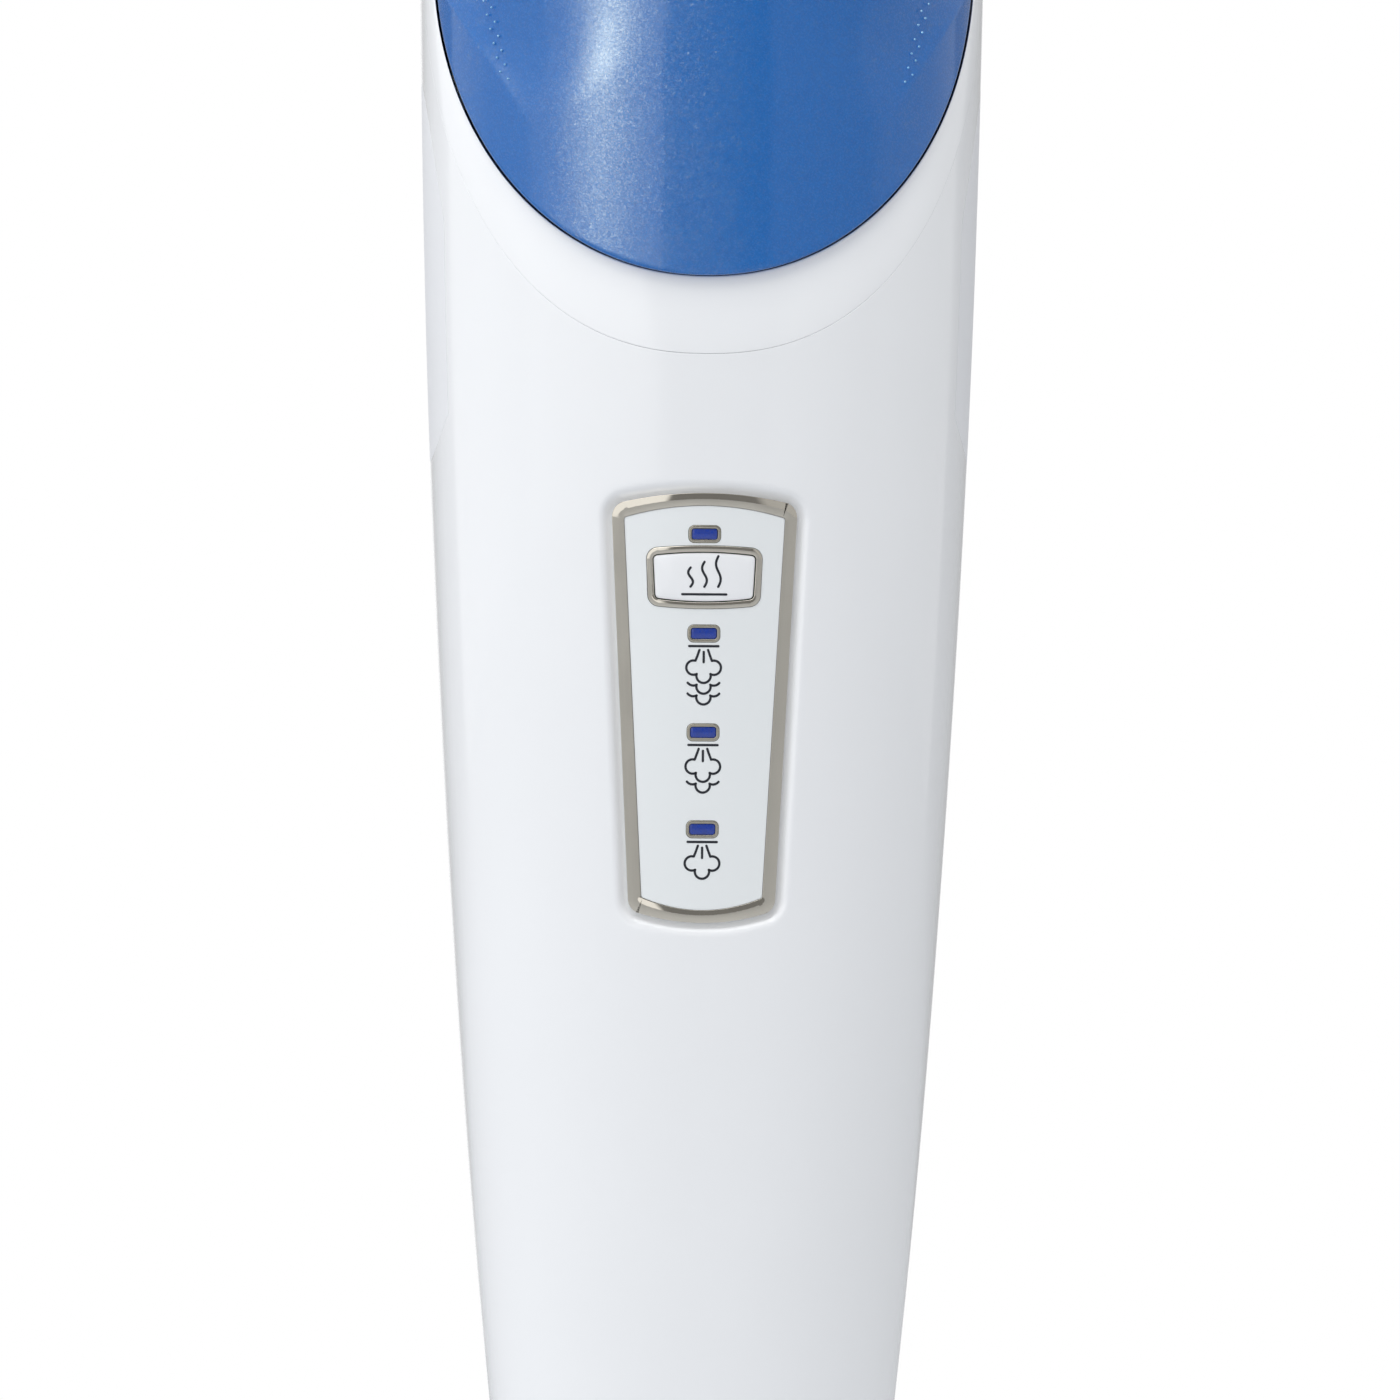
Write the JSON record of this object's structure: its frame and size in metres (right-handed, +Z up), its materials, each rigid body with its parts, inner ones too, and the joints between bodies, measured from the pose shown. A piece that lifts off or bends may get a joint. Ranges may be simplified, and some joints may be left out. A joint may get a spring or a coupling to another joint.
{
  "type": "steam mop",
  "caption": "Upright steam mop: padded steam head, two-axis swivelling neck, tapered body with a control panel and lift-off water tank, and a tube with a loop handle and trigger.",
  "frame": {"origin": "on the floor, under the middle of the mop pad", "axes": "+Z up along the mop, the control panel and tank face -Y, +X to the right of the panel seen from behind it"},
  "size_m": [0.3014, 0.19, 1.15],
  "materials": {
    "pad_fabric": "short looped microfibre",
    "hook_strip": "hook tape",
    "grey_plastic": "fine moulded texture",
    "bumper_rubber": "soft-touch",
    "dark_plastic": "fine moulded texture",
    "white_gloss": "high gloss",
    "panel_white": "smooth satin gloss",
    "steel": "plated",
    "aluminium": "drawn and satin anodised",
    "black_rubber": "matt",
    "clear_hose": "milky silicone",
    "board_green": "solder mask",
    "led_blue": "tinted, clear",
    "led_clear": "clear",
    "led_silver": "silver ink",
    "chrome": "mirror",
    "tank_blue": "metallic flake under clear gloss",
    "valve_white": "smooth"
  },
  "bodies": {
    "head": {"mop_pad": "pad_fabric", "pad_hook_strips": "hook_strip", "head_base_plate": "grey_plastic", "head_bumper": "bumper_rubber", "steam_manifold": "dark_plastic", "pivot_block": "dark_plastic", "head_cover": "white_gloss", "head_screws": "steel", "pitch_pin": "aluminium"},
    "neck": {"neck_yoke": "grey_plastic", "neck_cover_front": "white_gloss", "neck_cover_rear": "white_gloss", "neck_steam_pipe": "aluminium", "neck_washers": "black_rubber"},
    "housing": {"swivel_bracket": "dark_plastic", "swivel_pin": "aluminium", "front_shell": "white_gloss", "rear_shell": "white_gloss", "tank_collar": "white_gloss", "tank_bay": "white_gloss", "top_cover": "white_gloss", "chassis": "grey_plastic", "boiler": "aluminium", "boiler_bands": "aluminium", "thermostat": "dark_plastic", "pump_body": "dark_plastic", "pump_mounts": "black_rubber", "dock_hose": "clear_hose", "boiler_hose": "clear_hose", "steam_hose": "black_rubber", "dock_seal": "black_rubber", "control_board": "board_green", "indicator_leds": "led_clear", "level_switch": "dark_plastic", "panel_frame": "chrome", "panel_plate": "panel_white", "led_frames": "led_silver", "led_windows": "led_blue", "button_ring": "chrome", "handle_tube": "aluminium", "power_lead": "black_rubber", "grip_left": "white_gloss", "grip_right": "white_gloss", "soft_grip": "bumper_rubber", "trigger_pin": "steel", "trigger_switch": "dark_plastic", "cord_gland": "black_rubber", "hook_clamp": "dark_plastic", "lower_cord_hook": "dark_plastic", "shell_screws": "steel"},
    "pump_plunger": {"pump_plunger": "aluminium"},
    "level_button": {"level_button": "white_gloss"},
    "tank": {"tank_shell": "tank_blue"},
    "tank_cap": {"tank_cap": "dark_plastic", "cap_seal": "black_rubber", "valve_spring": "steel"},
    "valve": {"valve_poppet": "valve_white"},
    "trigger": {"steam_trigger": "dark_plastic"},
    "cord_hook": {"upper_cord_hook": "dark_plastic"},
    "snap_button": {"snap_button": "dark_plastic"}
  },
  "joints": [
    {"name": "neck_pitch", "type": "hinge", "parent": "head", "child": "neck", "pos_m": [0, 0, 0.055], "axis": [-1, 0, 0], "range_deg": [0, 80]},
    {"name": "neck_swivel", "type": "hinge", "parent": "neck", "child": "housing", "pos_m": [0, 0, 0.135], "axis": [0, 1, 0], "range_deg": [-45, 45]},
    {"name": "tank_lift", "type": "slide", "parent": "housing", "child": "tank", "axis": [0, 0, 1], "range_m": [0, 0.07]},
    {"name": "cap_turn", "type": "hinge", "parent": "tank", "child": "tank_cap", "pos_m": [0, -0.023, 0.49], "axis": [0, 0, 1], "range_deg": [0, 90]},
    {"name": "valve_open", "type": "slide", "parent": "tank_cap", "child": "valve", "axis": [0, 0, 1], "range_m": [0, 0.003], "stiffness_N_per_m": 300, "springref_m": -0.002, "deforming": ["valve_spring"]},
    {"name": "level_press", "type": "slide", "parent": "housing", "child": "level_button", "axis": [0, 0.999, 0.0441], "range_m": [0, 0.0008], "stiffness_N_per_m": 1500, "springref_m": -0.0003},
    {"name": "trigger_pull", "type": "hinge", "parent": "housing", "child": "trigger", "pos_m": [0, 0.048, 1.08], "axis": [1, 0, 0], "range_deg": [0, 10], "stiffness_Nm_per_rad": 0.6, "springref_deg": -8.59},
    {"name": "hook_turn", "type": "hinge", "parent": "housing", "child": "cord_hook", "pos_m": [0, 0.042, 0.905], "axis": [0, 1, 0], "range_deg": [0, 180]},
    {"name": "snap_press", "type": "slide", "parent": "housing", "child": "snap_button", "axis": [0, -1, 0], "range_m": [0, 0.003], "stiffness_N_per_m": 900, "springref_m": -0.001},
    {"name": "plunger_stroke", "type": "slide", "parent": "housing", "child": "pump_plunger", "axis": [0, 0, 1], "range_m": [0, 0.003], "stiffness_N_per_m": 600, "springref_m": -0.001}
  ]
}
